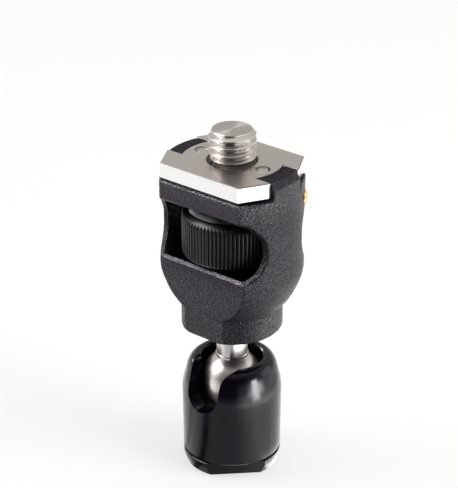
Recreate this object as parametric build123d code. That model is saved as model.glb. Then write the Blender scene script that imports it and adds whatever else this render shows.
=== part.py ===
from build123d import *
import os
import math

# Ball-jointed accessory mount head: a 3/8"-16 mounting screw on a keyed steel
# plate, driven by a thumbwheel inside a cast body, carried on a ball stud in a
# slotted socket with a wrench-flat base.
# Units mm, +Z up. Origin of the files: centre of the flat bottom face of the
# base collar. +X runs along the plate's long direction, through both locating
# pins; the socket's slot opens towards -Y.
# Shapes are modelled with z = 0 at the top face of the plate and lifted on export.
# Names ending in _r are radii; azimuths are degrees from +X.

# ---------------------------------------------------------- shared dimensions
plate_top_z = 67.2          # plate top above the base's bottom face
plate_thickness = 3.1
key_notch_half = 4.25       # half width of the plate's end notches

# 3/8"-16 UNC thread, drawn as separate ring grooves
screw_r = 4.7625
thread_pitch = 1.5875
groove_count = 3
groove_half_tip = 0.13      # half width at the narrow end
groove_half_mouth = 0.7     # half width at the wide end

# mounting screw's bearings
journal_r = 4.37
bushing_r = 5.1             # outside of the bushing around the journal
spindle_r = 3.0             # through the wheel
tail_r = 2.5                # lower journal

# locating pins
pin_x = 7.7
pin_r = 1.3
pin_pocket_bottom = -7.4

# screws holding the plate to the body
plate_screw_x, plate_screw_y = 6.2, 6.6
plate_screw_head_r, plate_screw_shank_r = 2.2, 1.23

# release button
button_azimuth = 32.0
button_z = -7.1
button_r = 1.5
button_spring_inner = 10.5  # inner end of the spring's bore, along the radius

body_r = 14.35

# ball stud
ball_z = -48.95
ball_r = 6.4
stud_r = 3.2
stud_bushing_r = 4.18
stud_grub_azimuth = 90.0
stud_grub_z = -28.2

# socket
seat_r = ball_r + 0.05      # ball plus running gap
socket_bore_r = 7.6         # takes the base collar's spigot


# ------------------------------------------------------------------- helpers
def xz(points):
    """Place (x, z) pairs in the XZ plane."""
    return [(x, 0, z) for x, z in points]


def lathe(points):
    """Solid of revolution about Z from a closed (radius, z) outline."""
    return revolve(make_face(Polyline(*xz(points), close=True)), Axis.Z, 360)


def prism(points, z0, z1):
    """Upright prism from a closed (x, y) outline."""
    outline = Polyline(*[(x, y, z0) for x, y in points], close=True)
    return extrude(make_face(outline), z1 - z0, dir=(0, 0, 1))


def rod_z(radius, z0, z1, x=0.0, y=0.0):
    rod = Cylinder(radius, z1 - z0, align=(Align.CENTER, Align.CENTER, Align.MIN))
    return Pos(x, y, z0) * rod


def rod_x(radius, x0, x1):
    return Pos(x0, 0, 0) * (Rot(0, 90, 0) * rod_z(radius, 0, x1 - x0))


def tube(outer_r, inner_r, z0, z1):
    return rod_z(outer_r, z0, z1) - rod_z(inner_r, z0 - 1, z1 + 1)


def block(x0, x1, y0, y1, z0, z1):
    centre = Pos((x0 + x1) / 2, (y0 + y1) / 2, (z0 + z1) / 2)
    return centre * Box(x1 - x0, y1 - y0, z1 - z0)


def radial(shape, azimuth, z):
    """Turn a shape modelled along +X to an azimuth and raise it to z."""
    return Pos(0, 0, z) * (Rot(0, 0, azimuth) * shape)


def hex_key_cut(circumradius, outer_x, depth):
    """Hexagonal cutter running inwards along -X from outer_x."""
    start = Plane(origin=(outer_x, 0, 0), z_dir=(-1, 0, 0))
    return extrude(start * RegularPolygon(circumradius, 6), depth)


def thread_grooves(tip_r, mouth_r, first_z, step):
    """Row of V-section rings with the narrow end at tip_r."""
    def ring(z):
        return lathe([(tip_r, z - groove_half_tip), (mouth_r, z - groove_half_mouth),
                      (mouth_r, z + groove_half_mouth), (tip_r, z + groove_half_tip)])

    rings = ring(first_z)
    for k in range(1, groove_count):
        rings += ring(first_z + k * step)
    return rings


def coil_spring(coil_r, wire_r, z0, z1, turns):
    """Round wire helix whose end sections are centred a wire radius inside z0..z1."""
    low, high = z0 + wire_r, z1 - wire_r
    path = Helix(pitch=(high - low) / turns, height=high - low, radius=coil_r,
                 center=(0, 0, low))
    section = Plane(origin=path @ 0, z_dir=path % 0) * Circle(wire_r)
    return sweep(section, path=path, is_frenet=True)


os.makedirs("parts", exist_ok=True)


def save(shape, name):
    export_step(Pos(0, 0, plate_top_z) * shape, "parts/" + name + ".step")


# ----------------------------------------------------------------- top plate
plate_x, plate_y = 12.9, 10.23              # half lengths
corner_x, corner_y = 9.77, 4.65             # where the corner cuts end
notch_floor_x = 8.0
notch_round_r = 10.3                        # rounded floor of the notches
plate_hole_r = 4.9
plate_hole_chamfer = 0.25
pin_hole_r = pin_r + 0.05
pin_hole_chamfer = 0.15
below_plate = -plate_thickness - 1

# (x, y) of the +X half; the other half is this one turned 180 degrees
half_outline = [(corner_x, plate_y), (plate_x, corner_y), (plate_x, key_notch_half),
                (notch_floor_x, key_notch_half), (notch_floor_x, -key_notch_half),
                (plate_x, -key_notch_half), (plate_x, -corner_y), (corner_x, -plate_y)]
plate = prism(half_outline + [(-x, -y) for x, y in half_outline], -plate_thickness, 0)
notch_fill_y = key_notch_half + 0.5
plate += (rod_z(notch_round_r, -plate_thickness, 0)
          & block(-11, 11, -notch_fill_y, notch_fill_y, -plate_thickness, 0))
plate = chamfer(plate.edges().group_by(Axis.Z)[-1], 0.12)


def chamfered_hole(radius, bevel):
    return lathe([(0, below_plate), (radius, below_plate), (radius, -bevel),
                  (radius + bevel, 0.0), (radius + bevel, 1), (0, 1)])


plate -= chamfered_hole(plate_hole_r, plate_hole_chamfer)
for sx in (-1, 1):
    plate -= Pos(sx * pin_x, 0, 0) * chamfered_hole(pin_hole_r, pin_hole_chamfer)
    for sy in (-1, 1):
        plate -= rod_z(plate_screw_shank_r + 0.02, below_plate, -0.9,
                       sx * plate_screw_x, sy * plate_screw_y)
save(plate, "top_plate")

# ------------------------------------------------------------------ cast body
body_top, body_bottom = -3.75, -36.0
flat_y_top, flat_y_bottom = 10.35, 8.9      # drafted flats facing +Y and -Y
flat_z_top, flat_z_bottom = -3.6, -35.3     # heights where those are measured
hub_r = 10.25                               # lower cylinder
pad_half_x, pad_half_y = 9.35, 9.65
key_half = 4.0
key_inner_r = 10.55
key_top = -0.15
window_top, window_bottom = -8.2, -20.2
window_bevel = 0.6

# (radius, z) up the curve from the hub to the full body radius
shoulder_points = xz([(10.3, -30.6), (11.45, -29.2), (12.3, -28.0), (12.95, -26.75),
                      (13.5, -25.5), (14.0, -24.15), (14.27, -22.9), (body_r, -21.4)])
shoulder = Spline(*shoulder_points)
side = Polyline(shoulder_points[-1],
                *xz([(body_r, body_top - 0.3), (body_r - 0.3, body_top), (0, body_top),
                     (0, body_bottom), (hub_r - 0.5, body_bottom),
                     (hub_r, body_bottom + 0.5), (hub_r, -30.6)]),
                shoulder_points[0])
body = revolve(make_face(shoulder.edges() + side.edges()), Axis.Z, 360)

# the flats, cut by a tapered slab from z = 0 down to slab_bottom
slab_bottom = -38
draft = (flat_y_top - flat_y_bottom) / (flat_z_top - flat_z_bottom)
slab_y_top = flat_y_top - draft * flat_z_top
slab_y_bottom = flat_y_bottom - draft * (flat_z_bottom - slab_bottom)
slab_outline = Polyline((-20, slab_y_top, 0), (-20, -slab_y_top, 0),
                        (-20, -slab_y_bottom, slab_bottom),
                        (-20, slab_y_bottom, slab_bottom), close=True)
body &= extrude(make_face(slab_outline), 40, dir=(1, 0, 0))

# pad that carries the plate, and the two keys that stand in the plate's notches
body += block(-pad_half_x, pad_half_x, -pad_half_y, pad_half_y,
              body_top - 0.5, -plate_thickness)
key_ring = lathe([(key_inner_r, -5.0), (body_r, -5.0), (body_r, -1.45), (13.35, key_top),
                  (key_inner_r, key_top)])
body += key_ring & block(-15, 15, -key_half, key_half, -6, 1)

# raised rim above the release button, a sector of a ring
rim_ring = lathe([(13.85, -4.5), (body_r, -4.5), (body_r, -3.0), (body_r - 0.2, -2.8),
                  (13.85, -2.8)])
rim_ends = [math.radians(azimuth) for azimuth in (19.5, 39)]
rim_wedge = prism([(0, 0)] + [(20 * math.cos(a), 20 * math.sin(a)) for a in rim_ends], -5, -1)
body += rim_ring & rim_wedge

# wheel window through both flats: (x, z) down its curved +X end, mirrored at -X
window_end = [(9.75, window_top), (10.3, -8.55), (11.0, -9.6), (11.6, -11.0),
              (11.93, -12.45), (12.02, -14.3), (11.95, -16.2), (11.66, -17.85),
              (11.13, -19.1), (10.5, -19.85), (9.9, window_bottom)]
mirrored_end = [(-x, z) for x, z in reversed(window_end)]
window_outline = (Spline(*xz(window_end)).edges()
                  + Line(*xz([window_end[-1], mirrored_end[0]])).edges()
                  + Spline(*xz(mirrored_end)).edges()
                  + Line(*xz([mirrored_end[-1], window_end[0]])).edges())
body -= extrude(make_face(window_outline), 20, dir=(0, 1, 0), both=True)


def ends_on_window(vertex):
    return (abs(vertex.Z - window_top) < 0.02 or abs(vertex.Z - window_bottom) < 0.02
            or abs(abs(vertex.X) - 11) < 1.4)


window_edges = [edge for edge in body.edges()
                if window_bottom - 0.2 < edge.center().Z < window_top + 0.2
                and abs(edge.center().Y) > 6.5 and abs(edge.center().X) < 12.8
                and all(ends_on_window(vertex) for vertex in edge.vertices())]
# The chamfer may not close over the drafted flats; the window then stays sharp.
try:
    body = chamfer(window_edges, window_bevel)
except Exception:
    pass

# spindle and stud bores
body -= rod_z(bushing_r + 0.02, -9, 0)
body -= rod_z(tail_r + 0.05, -24.0, -19)
body -= rod_z(stud_bushing_r + 0.02, -37, -30.0) + rod_z(stud_r + 0.05, -31, -26.4)
# locating pin pockets and stepped plate screw holes
for sx in (-1, 1):
    body -= rod_z(1.95, pin_pocket_bottom, 0, sx * pin_x, 0)
    for sy in (-1, 1):
        x, y = sx * plate_screw_x, sy * plate_screw_y
        body -= (rod_z(plate_screw_shank_r + 0.1, -9, 0, x, y)
                 + rod_z(plate_screw_head_r + 0.1, -9, -6.55, x, y))
# release button bore, with its spring's bore behind it
button_bore = rod_x(button_r + 0.05, 12.2, 16.0) + rod_x(0.75, button_spring_inner, 12.3)
body -= radial(button_bore, button_azimuth, button_z)
# stud grub screw hole on the +Y flat
body -= radial(rod_x(1.27, 3.0, 12.0), stud_grub_azimuth, stud_grub_z)
save(body, "head_body")

# --------------------------------------------------------------- plate screws
head_bottom, head_top = -8.1, -6.6
plate_screws = []
for sx in (-1, 1):
    for sy in (-1, 1):
        screw = (rod_z(plate_screw_head_r, head_bottom, head_top)
                 + rod_z(plate_screw_shank_r, head_top, -1.1))
        screw -= extrude(Pos(0, 0, head_bottom - 0.1) * RegularPolygon(1.0, 6), 1.0,
                         dir=(0, 0, 1))
        plate_screws.append(Pos(sx * plate_screw_x, sy * plate_screw_y, 0) * screw)
save(Compound(children=plate_screws), "plate_screws")

# ------------------------------------------------------------ mounting screw
screw_top = 6.5
screw_end_r = 3.95          # flat end face inside the 45 degree chamfer
thread_start = 0.9          # lower end of the full thread
thread_depth = 0.92
neck_r = 3.8                # undercut below the thread
tail_bottom, tail_top = -23.6, -19.85
journal_bottom, journal_top = -8.2, -1.6

spindle = lathe([(0, tail_bottom), (tail_r - 0.3, tail_bottom), (tail_r, tail_bottom + 0.3),
                 (tail_r, tail_top), (spindle_r, tail_top), (spindle_r, journal_bottom),
                 (journal_r, journal_bottom), (journal_r, journal_top - 0.3),
                 (journal_r - 0.3, journal_top), (neck_r, journal_top),
                 (neck_r, 0.15), (0, 0.15)])
crest_end = screw_top - (screw_r - screw_end_r)
threaded_end = rod_z(screw_r, -3.0, 10.5) - thread_grooves(
    screw_r - thread_depth, screw_r + 0.1, crest_end - 0.82, -thread_pitch)
threaded_end &= lathe([(0, 0.1), (neck_r, 0.1), (neck_r, 0.25), (screw_r, thread_start),
                       (screw_r, crest_end), (screw_end_r, screw_top), (0, screw_top)])
save(spindle + threaded_end, "mount_screw")

# ---------------------------------------------------------------- thumbwheel
wheel_r = 10.1
wheel_top, wheel_bottom = -10.3, -19.8
tooth_count = 76
root_r = wheel_r - 0.38
set_screw_r = 1.5
set_screw_azimuths = (90.0, 210.0)
set_screw_z = -15.0

# one tooth: (fraction of the tooth pitch, radius)
tooth = [(0.00, wheel_r), (0.42, wheel_r), (0.60, root_r), (0.82, root_r)]
tooth_angle = 2 * math.pi / tooth_count
wheel_outline = [(r * math.cos((i + fraction) * tooth_angle),
                  r * math.sin((i + fraction) * tooth_angle))
                 for i in range(tooth_count) for fraction, r in tooth]
wheel = prism(wheel_outline, wheel_bottom, wheel_top)
# bevelled rims
wheel &= lathe([(0, wheel_bottom), (9.3, wheel_bottom), (wheel_r + 0.02, wheel_bottom + 0.8),
                (wheel_r + 0.02, wheel_top - 0.85), (9.25, wheel_top), (0, wheel_top)])
wheel -= rod_z(spindle_r + 0.02, -21, -9)
for azimuth in set_screw_azimuths:
    wheel -= radial(rod_x(set_screw_r + 0.02, 1.5, 12.0), azimuth, set_screw_z)
save(wheel, "thumbwheel")

set_screw = rod_x(set_screw_r, spindle_r + 0.05, 8.6) - hex_key_cut(0.85, 8.7, 1.6)
save(Compound(children=[radial(set_screw, azimuth, set_screw_z)
                        for azimuth in set_screw_azimuths]), "wheel_set_screws")

# ------------------------------------------------- thrust washers and bushing
washer_inner_r, washer_outer_r = journal_r - 0.9, 8.85
washer_bottom, washer_top = -10.2, -8.25
save(lathe([(washer_inner_r, washer_bottom), (washer_outer_r - 0.2, washer_bottom),
            (washer_outer_r, washer_bottom + 0.2), (washer_outer_r, washer_top - 0.2),
            (washer_outer_r - 0.2, washer_top), (washer_inner_r, washer_top)]),
     "thrust_washer_upper")
save(tube(6.2, tail_r + 0.06, -20.16, -19.87), "thrust_washer_lower")
save(tube(bushing_r, journal_r + 0.04, -8.15, -3.15), "spindle_bushing")

# ---------------------------------------------- locating pins and their springs
pin_tip = -0.25
pin_tip_chamfer = 0.35
collar_r = 1.85
collar_top, collar_bottom = -5.32, -5.7
stem_r, stem_bottom = 0.85, -7.1            # inside the spring

pin = lathe([(0, pin_tip), (pin_r - pin_tip_chamfer, pin_tip),
             (pin_r, pin_tip - pin_tip_chamfer), (pin_r, collar_top), (collar_r, collar_top),
             (collar_r, collar_bottom), (stem_r, collar_bottom), (stem_r, stem_bottom),
             (0, stem_bottom)])
pin_spring = coil_spring(coil_r=1.35, wire_r=0.17, z0=pin_pocket_bottom + 0.02,
                         z1=collar_bottom - 0.02, turns=3.25)
for side_name, sx in (("left", -1), ("right", 1)):
    save(Pos(sx * pin_x, 0, 0) * pin, "locating_pin_" + side_name)
    save(Pos(sx * pin_x, 0, 0) * pin_spring, "pin_spring_" + side_name)

# -------------------------------------------------------------- release button
button_inner = 12.75        # inner face, along the radius
# (x, radius) about the button's own axis, domed beyond the body's surface
button_profile = [(button_inner, 0), (body_r + 0.62, 0), (body_r + 0.55, 0.6),
                  (body_r + 0.36, 1.1), (body_r + 0.1, button_r), (button_inner, button_r)]
button = revolve(make_face(Polyline(*xz(button_profile), close=True)), Axis.X, 360)
save(radial(button, button_azimuth, button_z), "release_button")
button_spring = coil_spring(coil_r=0.53, wire_r=0.12, z0=button_spring_inner + 0.05,
                            z1=button_inner - 0.03, turns=6.25)
save(radial(Rot(0, 90, 0) * button_spring, button_azimuth, button_z), "button_spring")

# ------------------------------------------------------------------ ball stud
neck_base_r = 3.0           # where the stud enters the ball
stud_collar_r = 3.35
stud_top = -26.8
grub_groove_r = 2.5
grub_groove_bottom, grub_groove_top = stud_grub_z - 0.7, stud_grub_z + 0.7

join_z = ball_z + math.sqrt(ball_r ** 2 - neck_base_r ** 2)
stud = Pos(0, 0, ball_z) * Sphere(ball_r)
stud += lathe([(0, ball_z), (neck_base_r, ball_z), (neck_base_r, join_z + 0.15),
               (stud_collar_r, join_z + 0.2), (stud_collar_r, join_z + 0.6),
               (stud_r, join_z + 0.75), (stud_r, grub_groove_bottom),
               (grub_groove_r, grub_groove_bottom), (grub_groove_r, grub_groove_top),
               (stud_r, grub_groove_top), (stud_r, stud_top - 0.3),
               (stud_r - 0.3, stud_top), (0, stud_top)])
save(stud, "ball_stud")
save(tube(stud_bushing_r, stud_r + 0.04, -35.85, -30.1), "stud_bushing")

stud_grub = rod_x(0.6, 2.6, 3.6) + rod_x(1.25, 3.35, 7.6)
stud_grub -= hex_key_cut(0.72, 7.7, 1.3)
save(radial(stud_grub, stud_grub_azimuth, stud_grub_z), "stud_grub_screw")

# -------------------------------------------------------------- socket housing
socket_low_r = 10.1         # the wall narrows slightly towards the base
socket_bottom = -64.15
cup_bore_r = 7.1
mouth_rise = 2.7            # top of the spherical seat above the ball's centre
slot_half = 3.85

# (radius, z) down the outside of the dome
dome_points = xz([(7.3, -43.35), (8.3, -43.85), (9.0, -44.85), (9.45, -46.2),
                  (9.83, -47.6), (10.1, -49.0), (10.22, -50.4)])
walls = Polyline(dome_points[-1], *xz([
    (socket_low_r, socket_bottom + 0.35), (socket_low_r - 0.3, socket_bottom),
    (socket_bore_r, socket_bottom), (socket_bore_r, -57.4), (cup_bore_r, -57.4),
    (cup_bore_r, -49.6), (seat_r, -49.6), (seat_r, ball_z)]))
mouth_angle = math.asin(mouth_rise / seat_r)
seat_end = (math.sqrt(seat_r ** 2 - mouth_rise ** 2), 0, ball_z + mouth_rise)
seat_arc = ThreePointArc((seat_r, 0, ball_z),
                         (seat_r * math.cos(mouth_angle / 2), 0,
                          ball_z + seat_r * math.sin(mouth_angle / 2)),
                         seat_end)
mouth = Polyline(seat_end, (6.35, 0, -43.6), (6.6, 0, -43.35), dome_points[0])
housing = revolve(make_face(Spline(*dome_points).edges() + walls.edges()
                            + seat_arc.edges() + mouth.edges()), Axis.Z, 360)

# round-bottomed slot towards -Y
slot = (block(-slot_half, slot_half, -13, 0, ball_z, -40)
        + Pos(0, 0, ball_z) * (Rot(90, 0, 0) * rod_z(slot_half, 0, 13)))
# the slot's walls flare out towards the mouth: (offset from the wall, z)
flare_table = [(0, -46.6), (0.06, -45.8), (0.2, -45.0), (0.45, -44.3), (0.85, -43.75),
               (1.5, -43.3)]
flare_points = [(slot_half + offset, z) for offset, z in flare_table]
(flare_low_x, flare_low_z), (flare_top_x, flare_top_z) = flare_points[0], flare_points[-1]
flare_right = Spline(*xz(flare_points))
flare_samples = [flare_right @ (i / 8) for i in range(8, -1, -1)]
flare_left = Spline(*[(-point.X, 0, point.Z) for point in flare_samples])
flare_lid = Polyline(*xz([(flare_top_x, flare_top_z), (flare_top_x, -42),
                          (-flare_top_x, -42), (-flare_top_x, flare_top_z)]))
flare_floor = Line(*xz([(-flare_low_x, flare_low_z), (flare_low_x, flare_low_z)]))
flare = flare_right.edges() + flare_lid.edges() + flare_left.edges() + flare_floor.edges()
housing -= slot + extrude(make_face(flare), 13, dir=(0, -1, 0))
save(housing, "socket_housing")

# ------------------------------------------------------- ball cup, disc spring
save(tube(cup_bore_r - 0.05, 2.2, -56.5, -52.3) - Pos(0, 0, ball_z) * Sphere(seat_r),
     "ball_cup")
save(lathe([(3.0, -56.9), (6.9, -57.45), (6.9, -57.1), (3.0, -56.55)]), "disc_spring")

# ----------------------------------------------------------------- base collar
base_r = 10.05
base_top, base_bottom = -64.45, -plate_top_z
blank_bottom = base_bottom - 4              # trimmed to base_bottom below
spigot_r = socket_bore_r - 0.05
spigot_top = -57.5
across_flats = 16.0
flats_azimuth = -45.0
female_r = 3.97                             # minor radius of the female thread
female_top = -60.0
lead_in_r = screw_r + 0.25

base = lathe([(female_r, blank_bottom), (base_r, blank_bottom), (base_r, base_top - 0.2),
              (base_r - 0.2, base_top), (spigot_r, base_top), (spigot_r, spigot_top - 0.25),
              (spigot_r - 0.25, spigot_top), (0, spigot_top), (0, female_top),
              (female_r, female_top)])
base -= thread_grooves(screw_r + 0.02, female_r - 0.1, base_bottom + 2.05, thread_pitch)
# flat bottom with a bevelled rim
base &= lathe([(0, base_bottom), (base_r - 0.55, base_bottom),
               (base_r + 0.05, base_bottom + 1.75), (base_r + 0.2, -57), (0, -57)])
# conical lead-in to the thread
lead_in_top = base_bottom + (lead_in_r + 0.3 - female_r)
base -= lathe([(0, base_bottom - 1), (lead_in_r, base_bottom - 1), (lead_in_r, base_bottom),
               (female_r - 0.3, lead_in_top), (0, lead_in_top)])
for turn in (0, 180):
    base -= Rot(0, 0, flats_azimuth + turn) * block(
        across_flats / 2, 14, -12, 12, base_bottom - 1, base_top + 0.001)
save(base, "base_collar")
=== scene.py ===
# A mounting head on a ball joint. From the top down: a plate with a threaded mounting screw,
# a cast head with a thumbwheel in its window, a ball stud, its socket and a base collar.
# It stands upright on Z = 0 with its axis on Z. The head's flats face -Y and +Y, the window
# runs through them, and the camera looks from +X, -Y. The scene is in metres.
import math

import bmesh
import bpy
import numpy as np
from mathutils import Matrix, Vector


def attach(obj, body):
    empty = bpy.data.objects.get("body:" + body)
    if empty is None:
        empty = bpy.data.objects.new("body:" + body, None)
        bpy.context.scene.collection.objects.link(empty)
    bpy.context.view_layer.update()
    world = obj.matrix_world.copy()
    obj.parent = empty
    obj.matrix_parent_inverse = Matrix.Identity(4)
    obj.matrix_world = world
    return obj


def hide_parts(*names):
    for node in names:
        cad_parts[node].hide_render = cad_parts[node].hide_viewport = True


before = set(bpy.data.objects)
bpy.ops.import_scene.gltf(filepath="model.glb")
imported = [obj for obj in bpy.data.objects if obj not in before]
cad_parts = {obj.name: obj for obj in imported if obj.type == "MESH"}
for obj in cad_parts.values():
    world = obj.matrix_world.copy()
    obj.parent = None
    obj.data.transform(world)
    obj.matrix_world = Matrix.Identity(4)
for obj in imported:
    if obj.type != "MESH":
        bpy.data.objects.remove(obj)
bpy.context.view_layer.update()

MM = 0.001
PLATE_TOP = 67.2         # mm above the base; part heights are measured from it, negative downwards
TURN = 2 * math.pi

# mounting screw, mm
SCREW_SEGMENTS = 192
PITCH = 1.5875
CREST_R, ROOT_R = 4.7625, 3.84
CREST_HALF_WIDTH = 0.11  # half the flat of a crest, and of a root
THREAD_PHASE = 0.43      # turns: where the crest stands at azimuth 0
THREAD_FROM, THREAD_TO, THREAD_STEPS = 0.05, 6.5, 190
RUN_IN_R, RUN_IN_Z, RUN_IN_SLOPE = 3.8, 0.2, 1.35   # cone that the thread grows out of
END_R = 3.95             # radius where the 45 degree end chamfer meets THREAD_TO
# (radius, height) of the plain part below the thread
SCREW_BODY = [(2.2, -23.6), (2.5, -23.3), (2.5, -19.85), (3.0, -19.85), (3.0, -8.2),
              (4.37, -8.2), (4.37, -1.9), (4.07, -1.6), (3.8, -1.6)]
# (radius, height) across the end face, to a small dimple in the middle
SCREW_END = [(3.93, 6.492), (3.88, 6.5), (3.6, 6.5), (3.2, 6.5), (2.6, 6.5), (1.9, 6.5),
             (1.2, 6.5), (0.6, 6.499), (0.25, 6.496), (0.0, 6.493)]

# thumbwheel, mm
RIDGES, SEGMENTS_PER_RIDGE = 76, 12
WHEEL_TOP, WHEEL_BOTTOM = -10.3, -19.8
WHEEL_R, WHEEL_BORE_R = 10.1, 3.02
GROOVE_DEPTH = 0.42
RIDGED_FROM_R = 9.0      # the profile is left round inside this radius
WHEEL_LOWER_EDGE = 0.85  # height of the lower edge's curve
WHEEL_SIDE, WHEEL_SIDE_STEPS = 7.25, 8

# cast head, mm
BODY_R = 14.35
FLAT_TOP_Y, FLAT_TOP_Z, FLAT_TAPER = 10.35, -3.6, 0.0457   # the flats lean inwards downwards
# (x, height) down one end of the window, from its top edge to its sill
WINDOW_END = [(9.75, -8.2), (10.3, -8.55), (11.0, -9.6), (11.6, -11.0), (11.93, -12.45),
              (12.02, -14.3), (11.95, -16.2), (11.66, -17.85), (11.13, -19.1),
              (10.5, -19.85), (9.9, -20.2)]
WINDOW_STEPS = 6         # per span of the outline
SILL_BEVEL = (-20.20, -20.84, 0.60)         # inner height, outer height, depth in Y
TOP_EDGE_Z, TOP_EDGE_Y, TOP_EDGE_DEPTH = -3.75, 10.38, 0.34
BORE_AZIMUTH, BORE_Z, BORE_R = math.radians(32.0), -7.1, 1.58
BORE_FLOOR, BORE_MOUTH = 12.05, 15.5        # distances from the axis, along the bore
VOXEL = 0.00013   # metres


# ------------------------------------------------------------------ meshes
def height(z):
    """Scene height of z mm above the plate top."""
    return (PLATE_TOP + z) * MM


def on_ring(radius, theta, z):
    return (radius * MM * math.cos(theta), radius * MM * math.sin(theta), height(z))


def new_object(name, verts, faces):
    mesh = bpy.data.meshes.new(name)
    mesh.from_pydata(verts, [], faces)
    mesh.update()
    ob = bpy.data.objects.new(name, mesh)
    bpy.context.scene.collection.objects.link(ob)
    bm = bmesh.new()
    bm.from_mesh(mesh)
    bmesh.ops.remove_doubles(bm, verts=bm.verts, dist=1e-8)
    bmesh.ops.recalc_face_normals(bm, faces=bm.faces)
    bm.to_mesh(mesh)
    bm.free()
    return ob


def smooth_below(ob, degrees):
    """Shades smooth, and marks edges sharp where the faces turn by more than the angle."""
    bm = bmesh.new()
    bm.from_mesh(ob.data)
    limit = math.radians(degrees)
    for edge in bm.edges:
        if len(edge.link_faces) == 2:
            edge.smooth = edge.calc_face_angle(0.0) < limit
    for face in bm.faces:
        face.smooth = True
    bm.to_mesh(ob.data)
    bm.free()


def rounded(points, corner, steps):
    """Rounds the inner corners of an open (radius, height) profile."""
    out = [points[0]]
    for before, here, after in zip(points, points[1:], points[2:]):
        here = np.array(here, float)
        back, on = np.array(before, float) - here, np.array(after, float) - here
        back_length, on_length = np.linalg.norm(back), np.linalg.norm(on)
        back, on = back / back_length, on / on_length
        angle = math.acos(back @ on)
        trim = min(corner / math.tan(angle / 2), back_length * 0.45, on_length * 0.45)
        start, end = here + back * trim, here + on * trim
        for k in range(steps + 1):
            s = k / steps
            q = (1 - s) ** 2 * start + 2 * s * (1 - s) * here + s ** 2 * end
            out.append((float(q[0]), float(q[1])))
    return out + [points[-1]]


def spline(points, steps):
    """Catmull-Rom curve through the points, with a number of steps per span."""
    knots = [np.array(p, float) for p in points]
    knots = [2 * knots[0] - knots[1]] + knots + [2 * knots[-1] - knots[-2]]
    out = []
    for a, b, c, d in zip(knots, knots[1:], knots[2:], knots[3:]):
        for k in range(steps):
            t = k / steps
            q = 0.5 * ((2 * b) + (-a + c) * t + (2 * a - 5 * b + 4 * c - d) * t ** 2
                       + (-a + 3 * b - 3 * c + d) * t ** 3)
            out.append((float(q[0]), float(q[1])))
    return out + [points[-1]]


# ------------------------------------------------------------------ node trees
class Graph:
    """Short calls for a node tree. A value may be a number, a tuple or another node's socket."""

    def __init__(self, owner):
        owner.use_nodes = True
        self.tree = owner.node_tree
        self.tree.nodes.clear()

    def feed(self, socket, value):
        if isinstance(value, bpy.types.NodeSocket):
            self.tree.links.new(value, socket)
        elif isinstance(value, tuple) and socket.type == "RGBA":
            socket.default_value = (*value, 1)
        else:
            socket.default_value = value

    def node(self, kind, inputs=None, **settings):
        node = self.tree.nodes.new(kind)
        for key, value in settings.items():
            setattr(node, key, value)
        for key, value in (inputs or {}).items():
            self.feed(node.inputs[key], value)
        return node

    def math(self, operation, *values):
        return self.node("ShaderNodeMath", dict(enumerate(values)), operation=operation).outputs[0]

    def add(self, first, *others):
        for other in others:
            first = self.math("ADD", first, other)
        return first

    def multiply(self, first, *others):
        for other in others:
            first = self.math("MULTIPLY", first, other)
        return first

    def one_minus(self, value):
        return self.math("SUBTRACT", 1.0, value)

    def dimmed(self, mask, amount):
        """1 outside the mask, less by the amount inside it."""
        return self.one_minus(self.multiply(mask, amount))

    def length(self, x, y):
        return self.math("SQRT", self.add(self.multiply(x, x), self.multiply(y, y)))

    def separate(self, vector):
        return self.node("ShaderNodeSeparateXYZ", {0: vector}).outputs

    def ramp(self, value, stops):
        """Stops are (position, grey)."""
        ramp = self.node("ShaderNodeValToRGB", {0: value})
        elements = ramp.color_ramp.elements
        elements.remove(elements[1])
        elements[0].position = stops[0][0]
        for i, (position, grey) in enumerate(stops):
            element = elements[0] if i == 0 else elements.new(position)
            element.color = (grey, grey, grey, 1)
        return ramp.outputs[0]

    def rises(self, value, low, high):
        return self.ramp(value, [(low, 0.0), (high, 1.0)])

    def falls(self, value, low, high):
        return self.ramp(value, [(low, 1.0), (high, 0.0)])


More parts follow.
